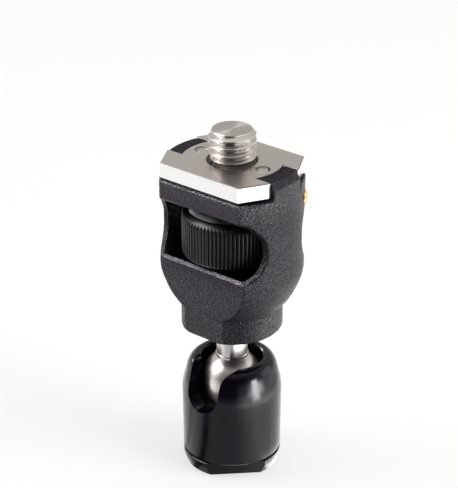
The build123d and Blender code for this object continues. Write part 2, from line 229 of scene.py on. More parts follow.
class Material(Graph):
    def __init__(self, name):
        self.mat = bpy.data.materials.new(name)
        super().__init__(self.mat)
        self.out = self.node("ShaderNodeOutputMaterial")
        self.bsdf = self.node("ShaderNodeBsdfPrincipled")
        self.feed(self.out.inputs[0], self.bsdf.outputs[0])
        self.co = self.node("ShaderNodeTexCoord").outputs["Object"]

    def set(self, **values):
        for key, value in values.items():
            self.feed(self.bsdf.inputs[key.replace("_", " ")], value)

    def mapped(self, scale):
        return self.node("ShaderNodeMapping", {"Scale": scale, "Vector": self.co}).outputs[0]

    def noise(self, vector, scale, detail=3.0, roughness=0.55):
        return self.node("ShaderNodeTexNoise", {
            "Scale": scale, "Detail": detail, "Roughness": roughness, "Vector": vector,
        }).outputs["Fac"]

    def mix(self, factor, a, b, mode="MIX"):
        return self.node("ShaderNodeMix", {0: factor, 6: a, 7: b},
                         data_type="RGBA", blend_type=mode).outputs[2]

    def shaded(self, colour, factor):
        return self.mix(1.0, colour, factor, "MULTIPLY")

    def combine(self, x, y, z):
        return self.node("ShaderNodeCombineXYZ", {0: x, 1: y, 2: z}).outputs[0]

    def bump(self, surface, strength, distance, normal=None):
        inputs = {"Strength": strength, "Distance": distance, "Height": surface}
        if normal is not None:
            inputs["Normal"] = normal
        return self.node("ShaderNodeBump", inputs).outputs[0]

    def bevel(self, radius):
        return self.node("ShaderNodeBevel", {"Radius": radius}, samples=4).outputs[0]

    def tangent(self):
        return self.node("ShaderNodeTangent", direction_type="RADIAL", axis="Z").outputs[0]

    def geometry(self, output="True Normal"):
        return self.node("ShaderNodeNewGeometry").outputs[output]

    def attribute(self, name):
        return self.node("ShaderNodeAttribute", attribute_name=name).outputs["Fac"]

    def cylindrical(self):
        """(distance from the axis, x, y, z) of the object coordinates."""
        x, y, z = self.separate(self.co)
        return self.length(x, y), x, y, z

    def turns(self, x, y):
        """Azimuth in turns: 0 at -X, 0.25 at -Y, 0.5 at +X, 0.75 at +Y."""
        return self.add(self.math("DIVIDE", self.math("ARCTAN2", y, x), TURN), 0.5)

    def turning_lines(self, radius, z, density):
        vector = self.combine(self.multiply(radius, density), self.multiply(z, density), 0.0)
        return self.noise(vector, scale=1.0, detail=3.0, roughness=0.6)


def tone(colour, factor):
    return tuple(min(1, c * factor) for c in colour)


# ------------------------------------------------------------------ materials
# painted shade in the sheen around the head, as (azimuth in turns, sheen): where a round side
# meets the front flat, and the hub
SIDE_SHEEN_SHADE = [(0.36, 0.46), (0.40, 0.52), (0.46, 0.66), (0.50, 0.86), (0.53, 1.0),
              (0.80, 1.0), (0.99, 0.9)]
HUB_SHEEN_SHADE = [(0.30, 0.36), (0.395, 0.36), (0.43, 0.62), (0.46, 1.05), (0.485, 1.30),
             (0.53, 1.25), (0.58, 1.0)]


def crinkle_coat():
    """Black crinkle powder coat: small merged blisters, glossy on top, dark between."""
    mat = Material("crinkle_coat")
    plain = mat.mapped((1, 1, 1))
    warp = mat.combine(mat.noise(plain, scale=1500, detail=2.0, roughness=0.5),
                       mat.noise(plain, scale=1700, detail=1.0),
                       mat.noise(plain, scale=1300, detail=1.0))
    warp_reach = (0.00035, 0.00035, 0.00035)
    warped = mat.node("ShaderNodeVectorMath", {0: warp, 1: warp_reach, 2: plain},
                      operation="MULTIPLY_ADD").outputs[0]
    cells = mat.node("ShaderNodeTexVoronoi", {"Scale": 2900, "Smoothness": 0.3, "Vector": warped},
                     feature="SMOOTH_F1").outputs["Distance"]
    grain = mat.noise(warped, scale=3200, detail=2.0, roughness=0.5)
    fine_grain = mat.noise(plain, scale=7000, detail=2.0, roughness=0.5)
    broad = mat.noise(plain, scale=160)
    blisters = mat.add(mat.multiply(cells, -1.0), mat.multiply(grain, 0.9),
                       mat.multiply(fine_grain, 0.10))

    # rougher on the round sides, but hardly on the lips beside the window
    round_side = mat.falls(mat.math("ABSOLUTE", mat.separate(mat.co)[1]), 0.0086, 0.0096)
    _, y, z = mat.separate(mat.co)
    y_size = mat.math("ABSOLUTE", y)
    radius, polar_x, polar_y, _ = mat.cylindrical()
    lips = mat.multiply(mat.falls(radius, 0.01375, 0.01410),
                        mat.rises(z, height(-22.3), height(-21.3)),
                        mat.falls(z, height(-7.6), height(-6.8)))
    round_side = mat.multiply(round_side, mat.dimmed(lips, 0.85))
    blisters = mat.multiply(blisters, mat.add(1.0, mat.multiply(round_side, 1.5)))
    normal = mat.bump(blisters, strength=1.0, distance=0.00009, normal=mat.bevel(0.00018))

    colour = mat.mix(mat.rises(broad, 0.35, 0.7),
                     (0.0088, 0.0068, 0.0130), (0.0118, 0.0098, 0.0160))
    colour = mat.mix(mat.rises(grain, 0.5, 0.75), colour, (0.016, 0.016, 0.018))
    # painted shade inside the wheel window, where almost no light reaches: the colour goes nearly
    # black
    window_shade = mat.multiply(
        mat.multiply(mat.falls(y_size, 0.0087, 0.0090), mat.falls(radius, 0.0127, 0.0132)),
        mat.multiply(mat.rises(z, height(-20.8), height(-20.5)),
                     mat.falls(z, height(-8.3), height(-7.9))))
    colour = mat.mix(window_shade, colour, (0.0004, 0.0004, 0.0008))
    # painted shadow along the outer side of the lips, in the step beside each one: near black
    lip_shadow = mat.attribute("lip_shadow")
    colour = mat.mix(lip_shadow, colour, (0.002, 0.0018, 0.003))
    # painted highlight on the bevels of the sill and of the top edge, along their whole length,
    # speckled by the grain
    bevel_highlight = mat.multiply(mat.attribute("bevel"), mat.ramp(grain, [(0.38, 0.30), (0.60, 1.1)]))
    colour = mat.mix(bevel_highlight, colour, (0.17, 0.17, 0.18))

    face_normal = mat.geometry()
    # 0 facing down, 1 facing up
    tilt = mat.add(mat.multiply(mat.separate(face_normal)[2], 0.5), 0.5)
    level = mat.rises(tilt, 0.95, 0.985)
    facing_down = mat.falls(tilt, 0.29, 0.39)
    top_slopes = mat.multiply(mat.rises(tilt, 0.60, 0.72),
                              mat.rises(z, height(-3.2), height(-2.8)))
    # the grain speckles the sheen, most on the round sides: partly the coat's own texture, partly
    # painted glints
    speckle = mat.ramp(grain, [(0.36, 0.40), (0.64, 1.75)])
    speckle = mat.add(1.0, mat.multiply(mat.math("SUBTRACT", speckle, 1.0),
                                        mat.add(0.22, mat.multiply(round_side, 0.78))))
    # painted shade: less sheen off the front flat, below the window and on the hub at the bottom,
    # set by azimuth
    around = mat.turns(polar_x, polar_y)
    front = mat.multiply(mat.separate(face_normal)[1], -1.0)
    off_flat = mat.falls(front, 0.78, 0.93)
    lower = mat.multiply(off_flat, mat.falls(z, height(-22.0), height(-20.8)))
    hub = mat.multiply(off_flat, mat.falls(z, height(-31.6), height(-30.4)))
    below_window = mat.multiply(lower, mat.one_minus(hub))

    # the sheen carries painted shade too: less inside the window, on level tops, on faces turned
    # down, on the top slopes, along the lip shadow, and lower down
    sheen = mat.math("SUBTRACT", 0.42, mat.add(mat.multiply(window_shade, 0.40),
                                               mat.multiply(level, 0.28)))
    sheen = mat.multiply(
        mat.math("MAXIMUM", sheen, 0.0),
        mat.dimmed(lip_shadow, 0.80),
        mat.dimmed(facing_down, 0.42),
        mat.dimmed(top_slopes, 0.62),
        speckle,
        mat.ramp(z, [(height(-24.5), 0.80), (height(-21.5), 1.0)]),
        mat.dimmed(below_window, mat.one_minus(mat.ramp(around, SIDE_SHEEN_SHADE))),
        mat.dimmed(hub, mat.one_minus(mat.ramp(around, HUB_SHEEN_SHADE))))
    mat.set(Base_Color=colour, Roughness=mat.ramp(grain, [(0.3, 0.40), (0.7, 0.27)]),
            Normal=normal, Specular_IOR_Level=sheen,
            Specular_Tint=mat.mix(round_side, (0.93, 0.83, 1.0), (1.0, 0.985, 1.0)))
    return mat.mat


def brushed_plate():
    """Steel brushed along X."""
    mat = Material("brushed_plate")
    lines = mat.noise(mat.mapped((150, 9000, 9000)), scale=1.0, detail=4.0, roughness=0.6)
    soft_lines = mat.noise(mat.mapped((330, 2600, 2600)), scale=1.0, detail=2.0, roughness=0.5)
    broad = mat.noise(mat.co, scale=150)
    relief = mat.add(mat.multiply(lines, 0.7), mat.multiply(soft_lines, 0.3))
    # 1 on the top face, 0 on the sides
    up = mat.math("ABSOLUTE", mat.separate(mat.geometry("Normal"))[2])
    edge = mat.bevel(0.00004)
    relief = mat.multiply(relief, mat.add(mat.multiply(up, 0.95), 0.05))
    normal = mat.bump(relief, strength=0.14, distance=0.00002, normal=edge)
    # painted light and shade: the top gets a darker copy of the steel's colour and the sides a
    # lighter one
    top = mat.mix(lines, (0.585, 0.545, 0.515), (0.66, 0.62, 0.59))
    top = mat.mix(mat.ramp(broad, [(0.3, 0.0), (0.75, 0.4)]), top, (0.55, 0.51, 0.48))
    side = mat.mix(soft_lines, (0.80, 0.79, 0.78), (0.86, 0.85, 0.84))
    # painted shade on the small broken edge between them, so it shows no highlight
    rim = mat.ramp(up, [(0.30, 1.0), (0.55, 0.14), (0.85, 0.14), (0.97, 1.0)])
    mat.set(Base_Color=mat.shaded(mat.mix(up, side, top), rim), Metallic=1.0,
            Roughness=mat.ramp(soft_lines, [(0.3, 0.30), (0.7, 0.38)]), Normal=normal)
    return mat.mat


def turned_steel(name, tint=(0.72, 0.69, 0.66), rough=(0.16, 0.26), aniso=0.5, bevel=0.00006,
                 end_marks=False, shade_z=None):
    """Steel with turning lines about Z. shade_z holds (height in mm, brightness) stops of painted
    light and shade.
    """
    mat = Material(name)
    radius, x, y, z = mat.cylindrical()
    lines = mat.turning_lines(radius, z, density=9000.0)
    broad = mat.noise(mat.co, scale=260)
    normal = mat.bump(lines, strength=0.2, distance=0.00002,
                      normal=mat.bevel(bevel) if bevel else None)
    colour = mat.mix(lines, tone(tint, 0.88), tone(tint, 1.07))
    roughness = mat.ramp(broad, [(0.3, rough[0]), (0.75, rough[1])])
    if shade_z:
        colour = mat.shaded(colour, mat.ramp(z, [(height(at), grey) for at, grey in shade_z]))
    if end_marks:
        # faced end: tool rings and the bow-tie sheen of a turned face
        angle = mat.math("ARCTAN2", y, x)
        end = mat.rises(mat.separate(mat.geometry())[2], 0.93, 0.97)
        fine_rings = mat.noise(mat.combine(mat.multiply(radius, 4200.0), 0.0, 0.0),
                               scale=1.0, detail=2.0, roughness=0.5)
        wide_rings = mat.noise(
            mat.combine(mat.multiply(radius, 1300.0), mat.multiply(angle, 0.35), 0.0),
            scale=1.0, detail=1.0, roughness=0.5)
        shade = mat.add(mat.multiply(fine_rings, 0.22), mat.multiply(wide_rings, 0.20))
        colour = mat.mix(end, colour, mat.mix(shade, (0.50, 0.47, 0.45), (0.92, 0.88, 0.84)))
        roughness = mat.add(roughness, mat.multiply(end, 0.22))
        end_aniso = 0.72
        aniso = mat.add(mat.multiply(end, end_aniso - aniso), aniso)
    mat.set(Base_Color=colour, Metallic=1.0, Roughness=roughness, Normal=normal,
            Anisotropic=aniso, Anisotropic_Rotation=0.25, Tangent=mat.tangent())
    return mat.mat


def black_anodised(name, rough=(0.16, 0.20), aniso=0.60, tint=(0.0026, 0.0012, 0.0050),
                   bevel=0.00016, specular=0.30, inner_shade=False):
    """Black anodised metal with faint turning lines about Z."""
    mat = Material(name)
    radius, _, _, z = mat.cylindrical()
    lines = mat.turning_lines(radius, z, density=7000.0)
    broad = mat.noise(mat.co, scale=120)
    normal = mat.bump(lines, strength=0.10, distance=0.00001, normal=mat.bevel(bevel))
    colour = mat.mix(mat.rises(broad, 0.3, 0.75), tint, tone(tint, 1.35))
    roughness = mat.ramp(broad, [(0.3, rough[0]), (0.75, rough[1])])
    if inner_shade:
        # painted shade: bore and slot walls, which face away from the outside, get almost no sheen
        recess_sheen = 0.03
        normal_x, normal_y, normal_z = mat.separate(mat.geometry())
        x, y, _ = mat.separate(mat.co)
        outward = mat.math("DIVIDE", mat.add(mat.multiply(normal_x, x),
                                             mat.multiply(normal_y, y)), radius)
        outside = mat.math("MAXIMUM", mat.rises(outward, 0.15, 0.4),
                           mat.rises(normal_z, 0.4, 0.6))
        specular = mat.add(mat.multiply(outside, specular - recess_sheen), recess_sheen)
    mat.set(Base_Color=colour, Metallic=0.0, Roughness=roughness, Normal=normal,
            Specular_IOR_Level=specular, Anisotropic=aniso, Anisotropic_Rotation=0.25,
            Tangent=mat.tangent())
    return mat.mat


def plain_material(name, tint, rough=(0.25, 0.4), metallic=1.0, specular=0.5):
    mat = Material(name)
    grain = mat.noise(mat.co, scale=2500.0, detail=3.0, roughness=0.6)
    broad = mat.noise(mat.co, scale=300)
    mat.set(Base_Color=mat.mix(broad, tone(tint, 0.85), tone(tint, 1.12)), Metallic=metallic,
            Roughness=mat.ramp(grain, [(0.3, rough[0]), (0.7, rough[1])]),
            Normal=mat.bump(grain, strength=0.15, distance=0.00002, normal=mat.bevel(0.00006)),
            Specular_IOR_Level=specular)
    return mat.mat


COAT = crinkle_coat()
PLATE = brushed_plate()
SCREW = turned_steel("turned_screw", rough=(0.20, 0.26), aniso=0.25, bevel=0, end_marks=True)
STUD = turned_steel("turned_stud", tint=(0.80, 0.77, 0.74), rough=(0.27, 0.36), aniso=0.6)
WHEEL = black_anodised("anodised_wheel", rough=(0.26, 0.36), aniso=0.0,
                       tint=(0.0045, 0.0036, 0.0075), bevel=0.00004, specular=0.45)
SOCKET = black_anodised("anodised_socket", inner_shade=True)
BASE = black_anodised("anodised_base", rough=(0.2, 0.28), bevel=0.00010)
BLACK_STEEL = plain_material("black_oxide", tint=(0.05, 0.05, 0.055), metallic=0.8)
# the washer gets painted shade under the window's top and a painted highlight along its lower edge
WASHER = turned_steel("ground_washer", tint=(0.20, 0.198, 0.204), rough=(0.2, 0.3),
                      shade_z=[(-9.98, 1.6), (-9.80, 1.3), (-9.62, 0.16), (-9.4, 0.03),
                               (-9.2, 0.01)])
ACETAL = plain_material("black_acetal", tint=(0.006, 0.006, 0.006), rough=(0.35, 0.5),
                        metallic=0.0, specular=0.3)
BRONZE = plain_material("sinter_bronze", tint=(0.30, 0.19, 0.10))
PIN = turned_steel("ground_pin", tint=(0.66, 0.64, 0.62), rough=(0.2, 0.34))
SPRING = plain_material("spring_wire", tint=(0.5, 0.5, 0.52), rough=(0.2, 0.3))
BRASS = plain_material("turned_brass", tint=(0.86, 0.60, 0.28), rough=(0.2, 0.3))

CAD_MATERIALS = {
    "top_plate": PLATE, "head_body": COAT, "plate_screws": BLACK_STEEL, "mount_screw": SCREW,
    "thumbwheel": WHEEL, "wheel_set_screws": BLACK_STEEL, "thrust_washer_upper": WASHER,
    "thrust_washer_lower": ACETAL, "spindle_bushing": BRONZE, "locating_pin_left": PIN,
    "locating_pin_right": PIN, "pin_spring_left": SPRING, "pin_spring_right": SPRING,
    "release_button": BRASS, "button_spring": SPRING, "ball_stud": STUD,
    "stud_bushing": BRONZE, "stud_grub_screw": BLACK_STEEL, "socket_housing": SOCKET,
    "ball_cup": ACETAL, "disc_spring": SPRING, "base_collar": BASE,
}
for node_name, material in CAD_MATERIALS.items():
    cad_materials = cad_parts[node_name].data.materials
    cad_materials.clear()
    cad_materials.append(material)


# ------------------------------------------------------------------ mounting screw
def thread_radius(theta, z):
    """Helical thread with 60 degree flanks and a slightly rolled crest and root."""
    phase = (z / PITCH - theta / TURN + THREAD_PHASE) % 1.0
    from_crest = min(phase, 1 - phase) * PITCH
    if from_crest <= CREST_HALF_WIDTH:
        return CREST_R
    root_edge = PITCH / 2 - CREST_HALF_WIDTH
    k = min(1.0, (from_crest - CREST_HALF_WIDTH) / (root_edge - CREST_HALF_WIDTH))
    return CREST_R + (ROOT_R - CREST_R) * (k - 0.03 * math.sin(TURN * k))


def trimmed_thread_radius(theta, z):
    """The thread, held within the end chamfer and the run-in cone."""
    chamfer = END_R + (THREAD_TO - z)
    run_in = RUN_IN_R + max(0.0, z - RUN_IN_Z) * RUN_IN_SLOPE
    return min(thread_radius(theta, z), chamfer, run_in)


def make_screw():
    # (radius, height) rows; no radius means a threaded row
    rows = [(0.0, -23.6)] + rounded(SCREW_BODY, corner=0.05, steps=3)
    rows += [(None, THREAD_FROM + (THREAD_TO - THREAD_FROM) * i / THREAD_STEPS)
             for i in range(THREAD_STEPS + 1)]
    rows += SCREW_END
    verts, faces, rings = [], [], []
    for radius, z in rows:
        start = len(verts)
        if radius == 0.0:
            verts.append((0, 0, height(z)))
        else:
            for k in range(SCREW_SEGMENTS):
                theta = TURN * k / SCREW_SEGMENTS
                r = trimmed_thread_radius(theta, z) if radius is None else radius
                verts.append(on_ring(r, theta, z))
        rings.append(range(start, len(verts)))
    for a, b in zip(rings[:-1], rings[1:]):
        for k in range(SCREW_SEGMENTS):
            k2 = (k + 1) % SCREW_SEGMENTS
            if len(a) == 1:
                faces.append((a[0], b[k2], b[k]))
            elif len(b) == 1:
                faces.append((a[k], a[k2], b[0]))
            else:
                faces.append((a[k], a[k2], b[k2], b[k]))
    ob = new_object("mount_screw_threaded", verts, faces)
    smooth_below(ob, degrees=40)
    ob.data.materials.append(SCREW)
    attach(ob, "spindle")
    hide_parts("mount_screw")


# ------------------------------------------------------------------ thumbwheel
def ridge_radius(theta):
    """Round-topped ridges with narrow V grooves between them."""
    t = (theta / TURN * RIDGES) % 1.0
    ridge = WHEEL_R - 0.05 * (1 - math.cos(TURN * t) * 0.5)
    from_groove = abs(t - 0.5) * 2
    groove = max(0.0, 1 - from_groove / 0.62) ** 0.9
    return ridge + (WHEEL_R - GROOVE_DEPTH - ridge) * groove


def make_wheel():
    # (radius, offset from the bottom) and (radius, offset from the top)
    lower = [(WHEEL_BORE_R, 0), (9.05, 0), (9.35, 0.04), (9.62, 0.22), (10.0, 0.62),
             (WHEEL_R, WHEEL_LOWER_EDGE)]
    upper = [(WHEEL_R, -1.22), (10.04, -1.12), (9.92, -0.98), (9.7, -0.78), (9.5, -0.62),
             (9.2, -0.38), (8.95, -0.19), (8.8, -0.09), (8.65, -0.02), (8.55, 0),
             (WHEEL_BORE_R, 0)]
    profile = [(r, WHEEL_BOTTOM + z) for r, z in lower]
    profile += [(WHEEL_R, WHEEL_BOTTOM + WHEEL_LOWER_EDGE + WHEEL_SIDE * i / WHEEL_SIDE_STEPS)
                for i in range(1, WHEEL_SIDE_STEPS)]
    profile += [(r, WHEEL_TOP + z) for r, z in upper]

    segments = RIDGES * SEGMENTS_PER_RIDGE
    angles = [TURN * k / segments for k in range(segments)]
    ridges = [ridge_radius(theta) for theta in angles]
    verts, faces = [], []
    for r, z in profile:
        for theta, ridge in zip(angles, ridges):
            verts.append(on_ring(r if r < RIDGED_FROM_R else min(r, ridge), theta, z))
    # the last ring joins the first through the bore
    for i in range(len(profile)):
        a, b = i * segments, (i + 1) % len(profile) * segments
        for k in range(segments):
            k2 = (k + 1) % segments
            faces.append((a + k, b + k, b + k2, a + k2))
    ob = new_object("thumbwheel_ridged", verts, faces)
    smooth_below(ob, degrees=50)
    ob.data.materials.append(WHEEL)
    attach(ob, "spindle")
    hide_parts("thumbwheel")


# ------------------------------------------------------------------ cast head
def flat_y(z):
    return FLAT_TOP_Y - FLAT_TAPER * (FLAT_TOP_Z - z)


def window_stations():
    """(x, z, outward x, outward z, swell) along a window end; swell is 1 at mid height."""
    line = spline(WINDOW_END, WINDOW_STEPS)
    last = len(line) - 1
    stations = []
    for i, (x, z) in enumerate(line):
        x0, z0 = line[max(0, i - 1)]
        x1, z1 = line[min(last, i + 1)]
        along_x, along_z = x1 - x0, z1 - z0
        length = math.hypot(along_x, along_z)
        out_x, out_z = -along_z / length, along_x / length
        if out_x < 0:
            out_x, out_z = -out_x, -out_z
        stations.append((x, z, out_x, out_z, math.sin(math.pi * i / last)))
    return stations


def lip_width(swell):
    return 0.62 + 0.55 * swell ** 0.7


def lip_cutter(side_x, side_y):
    """Cuts the thin wedge at a window end back to a lip that follows the window's outline."""
    overlap, beyond, far_y = 0.5, 0.6, 16.0
    verts, faces = [], []
    stations = window_stations()
    for x, z, out_x, out_z, swell in stations:
        width = lip_width(swell)
        lip_x, lip_z = x + out_x * width, z + out_z * width
        lip_y = min(math.sqrt(BODY_R ** 2 - lip_x ** 2), flat_y(lip_z))
        window_y = lip_y - 0.6 * (1 - swell) ** 1.2
        near_x, near_z = x - out_x * overlap, z - out_z * overlap
        near_y = window_y - (lip_y - window_y) * overlap / width
        outer_x, outer_z = x + out_x * (width + beyond), z + out_z * (width + beyond)
        sink = 0.30 * swell
        for vx, vy, vz in ((near_x, near_y - sink, near_z), (lip_x, lip_y - sink, lip_z),
                           (outer_x, lip_y + 0.35 + 1.2 * sink, outer_z),
                           (outer_x, far_y, outer_z), (near_x, far_y, near_z)):
            verts.append((side_x * vx * MM, side_y * vy * MM, height(vz)))
    m = 5                # corners of the cutter's section
    n = len(stations)
    for i in range(n - 1):
        a, b = i * m, (i + 1) * m
        for k in range(m):
            k2 = (k + 1) % m
            faces.append((a + k, a + k2, b + k2, b + k))
    faces.append(tuple(range(m)))
    faces.append(tuple(reversed(range((n - 1) * m, n * m))))
    return new_object("cutter", verts, faces)


def read_points(mesh):
    """Vertex places in mm, with heights from the plate top."""
    points = np.empty(len(mesh.vertices) * 3)
    mesh.vertices.foreach_get("co", points)
    points = points.reshape(-1, 3) / MM
    points[:, 2] -= PLATE_TOP
    return points


def write_points(mesh, points):
    points[:, 2] += PLATE_TOP
    mesh.vertices.foreach_set("co", (points * MM).ravel())
    mesh.update()


def write_attribute(mesh, name, values):
    mesh.attributes.new(name, "FLOAT", "POINT").data.foreach_set("value", values)


def bevel_edge(points, start, normal, cut, bevel_highlight):
    """Lays the skin on the plane through start, on both flats, and returns the mask of the painted
    highlight along it.
    start and normal are (y, z); cut and bevel_highlight are (half length in x, low z, high z,
    least y)."""
    def measure(half_x, z_low, z_high, y_least):
        x, y, z = np.abs(points[:, 0]), np.abs(points[:, 1]), points[:, 2]
        distance = (y - start[0]) * normal[0] + (z - start[1]) * normal[1]
        return distance, (x < half_x) & (z > z_low) & (z < z_high) & (y > y_least)

    distance, hit = measure(*cut)
    hit &= distance > 0
    points[hit, 1] -= np.sign(points[hit, 1]) * distance[hit] * normal[0]
    points[hit, 2] -= distance[hit] * normal[1]
    distance, near = measure(*bevel_highlight)
    return near & (np.abs(distance) < 0.12)


def bevel_flats(mesh):
    """Bevels the lower edge of the window and, finer, the body's top edge over each flat."""
    points = read_points(mesh)
    bevel_highlight = np.zeros(len(points), dtype=np.float32)
    z_in, z_out, depth = SILL_BEVEL
    length = math.hypot(depth, z_out - z_in)
    half_x = 10.1
    near = bevel_edge(points, start=(flat_y(z_out) - depth, z_in),
                      normal=((z_in - z_out) / length, depth / length),
                      cut=(half_x, -21.1, -19.95, 8.0), bevel_highlight=(half_x, -20.80, -20.24, 8.6))
    bevel_highlight[near] = np.clip((half_x - np.abs(points[near, 0])) / 0.5, 0.0, 1.0)
    top = TOP_EDGE_Z
    near = bevel_edge(points, start=(TOP_EDGE_Y - TOP_EDGE_DEPTH, top),
                      normal=(math.sqrt(0.5), math.sqrt(0.5)),
                      cut=(11.5, top - 0.55, top + 0.15, 9.8),
                      bevel_highlight=(9.2, top - TOP_EDGE_DEPTH, top + 0.02, 9.9))
    bevel_highlight[near] = 0.45
    # the bevel attribute carries the painted highlight along both bevels
    write_attribute(mesh, "bevel", bevel_highlight)
    write_points(mesh, points)


def clear_bore(mesh):
    """Keeps the release button's bore round and square-cornered, so the button can sink in."""
    axis_x, axis_y = math.cos(BORE_AZIMUTH), math.sin(BORE_AZIMUTH)
    points = read_points(mesh)
    along = points[:, 0] * axis_x + points[:, 1] * axis_y
    across = points[:, 1] * axis_x - points[:, 0] * axis_y
    above = points[:, 2] - BORE_Z
    off_axis = np.maximum(np.hypot(across, above), 1e-6)
    hit = (along > BORE_FLOOR) & (along < BORE_MOUTH) & (off_axis < BORE_R)
    deep = hit & ((along - BORE_FLOOR) < (BORE_R - off_axis))
    side = hit & ~deep
    along[deep] = BORE_FLOOR
    across[side] *= BORE_R / off_axis[side]
    above[side] *= BORE_R / off_axis[side]
    points[hit, 0] = along[hit] * axis_x - across[hit] * axis_y
    points[hit, 1] = along[hit] * axis_y + across[hit] * axis_x
    points[hit, 2] = above[hit] + BORE_Z
    write_points(mesh, points)


def mark_lip_shadow(mesh):
    """Marks the line along the outer side of the lips, where a painted shadow darkens the step
    beside each lip.
    """
    points = read_points(mesh)
    x, y, z = np.abs(points[:, 0]), np.abs(points[:, 1]), points[:, 2]
    near = np.nonzero((x > 9.5) & (z < -7.4) & (z > -21.6) & (y > 3.0)
                      & (np.hypot(x, y) > 13.0))[0]
    nearest = np.full(len(near), 9.0)
    strength = np.zeros(len(near))
    for line_x, line_z, out_x, out_z, swell in window_stations():
        offset = lip_width(swell) + 0.10
        distance = np.hypot(x[near] - (line_x + out_x * offset),
                            z[near] - (line_z + out_z * offset))
        better = distance < nearest
        nearest[better] = distance[better]
        strength[better] = min(1.0, 2.2 * swell)
    lip_shadow = np.zeros(len(points), dtype=np.float32)
    lip_shadow[near] = np.clip(1.0 - (nearest - 0.10) / 0.16, 0.0, 1.0) * strength
    write_attribute(mesh, "lip_shadow", lip_shadow)


def apply_modifiers(ob):
    depsgraph = bpy.context.evaluated_depsgraph_get()
    mesh = bpy.data.meshes.new_from_object(ob.evaluated_get(depsgraph))
    ob.modifiers.clear()
    ob.data = mesh
    return mesh


def make_head():
    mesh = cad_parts["head_body"].data.copy()
    ob = bpy.data.objects.new("head_casting", mesh)
    bpy.context.scene.collection.objects.link(ob)
    bm = bmesh.new()
    bm.from_mesh(mesh)
    bmesh.ops.remove_doubles(bm, verts=bm.verts, dist=1e-7)
    bm.to_mesh(mesh)
    bm.free()
    cutters = [lip_cutter(side_x, side_y) for side_x in (-1, 1) for side_y in (-1, 1)]
    for cutter in cutters:
        cut = ob.modifiers.new("cut", "BOOLEAN")
        cut.operation = "DIFFERENCE"
        cut.solver = "EXACT"
        cut.object = cutter
    # an even skin with the coat's soft edges
    skin = ob.modifiers.new("skin", "REMESH")
    skin.mode = "VOXEL"
    skin.voxel_size = VOXEL
    skin.use_smooth_shade = True
    soften = ob.modifiers.new("soften", "SMOOTH")
    soften.factor = 0.5
    soften.iterations = 3
    mesh = apply_modifiers(ob)
    for cutter in cutters:
        bpy.data.objects.remove(cutter)
    bevel_flats(mesh)

    # blisters of the coat, about 0.4 mm across
    clouds = bpy.data.textures.new("blisters", "CLOUDS")
    clouds.noise_scale = 0.00045
    clouds.noise_depth = 1
    blisters = ob.modifiers.new("blisters", "DISPLACE")
    blisters.texture = clouds
    blisters.texture_coords = "LOCAL"
    blisters.strength = 0.00005
    blisters.mid_level = 0.5
    mesh = apply_modifiers(ob)
    for polygon in mesh.polygons:
        polygon.use_smooth = True
    clear_bore(mesh)
    mark_lip_shadow(mesh)
    mesh.materials.clear()
    mesh.materials.append(COAT)
    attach(ob, "head")
    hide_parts("head_body")


# ------------------------------------------------------------------ floor
# Painted reflection: glow that only reflections see on the table, as (azimuth in turns, radiance):
# a ring close to the object, and the table further away
TABLE_GAIN = 4.0         # the rings are divided by it to fit a ramp, and multiplied back
RING_NEAR = [
    (0.0, 1.15), (0.07, 1.1), (0.095, 0.66), (0.115, 1.2), (0.14, 1.2), (0.165, 1.1),
    (0.186, 0.72), (0.203, 0.12), (0.221, 0.10), (0.236, 0.52), (0.255, 0.66), (0.33, 0.64),
    (0.39, 0.76), (0.41, 0.95), (0.443, 1.38), (0.46, 1.5), (0.494, 1.95), (0.51, 1.95),
    (0.53, 1.75), (0.56, 1.55), (0.62, 1.45), (0.70, 1.4), (0.83, 1.4), (0.88, 0.6),
    (0.985, 1.0)]
RING_AWAY = [
    (0.0, 1.10), (0.10, 1.10), (0.145, 1.12), (0.17, 1.02), (0.215, 0.70), (0.26, 0.62),
    (0.375, 0.62), (0.41, 1.8), (0.435, 3.0), (0.49, 3.0), (0.52, 3.1), (0.56, 3.1),
    (0.60, 2.2), (0.66, 1.25), (0.755, 1.1), (1.0, 1.10)]
# (distance from the axis in metres, gain) on the outer ring, relative to AWAY_LEVEL
AWAY_GAIN = [(0.050, 0.72), (0.060, 0.72), (0.074, 0.28), (0.089, 0.28), (0.102, 0.66),
             (0.125, 0.66), (0.144, 0.40)]
AWAY_LEVEL = 0.48


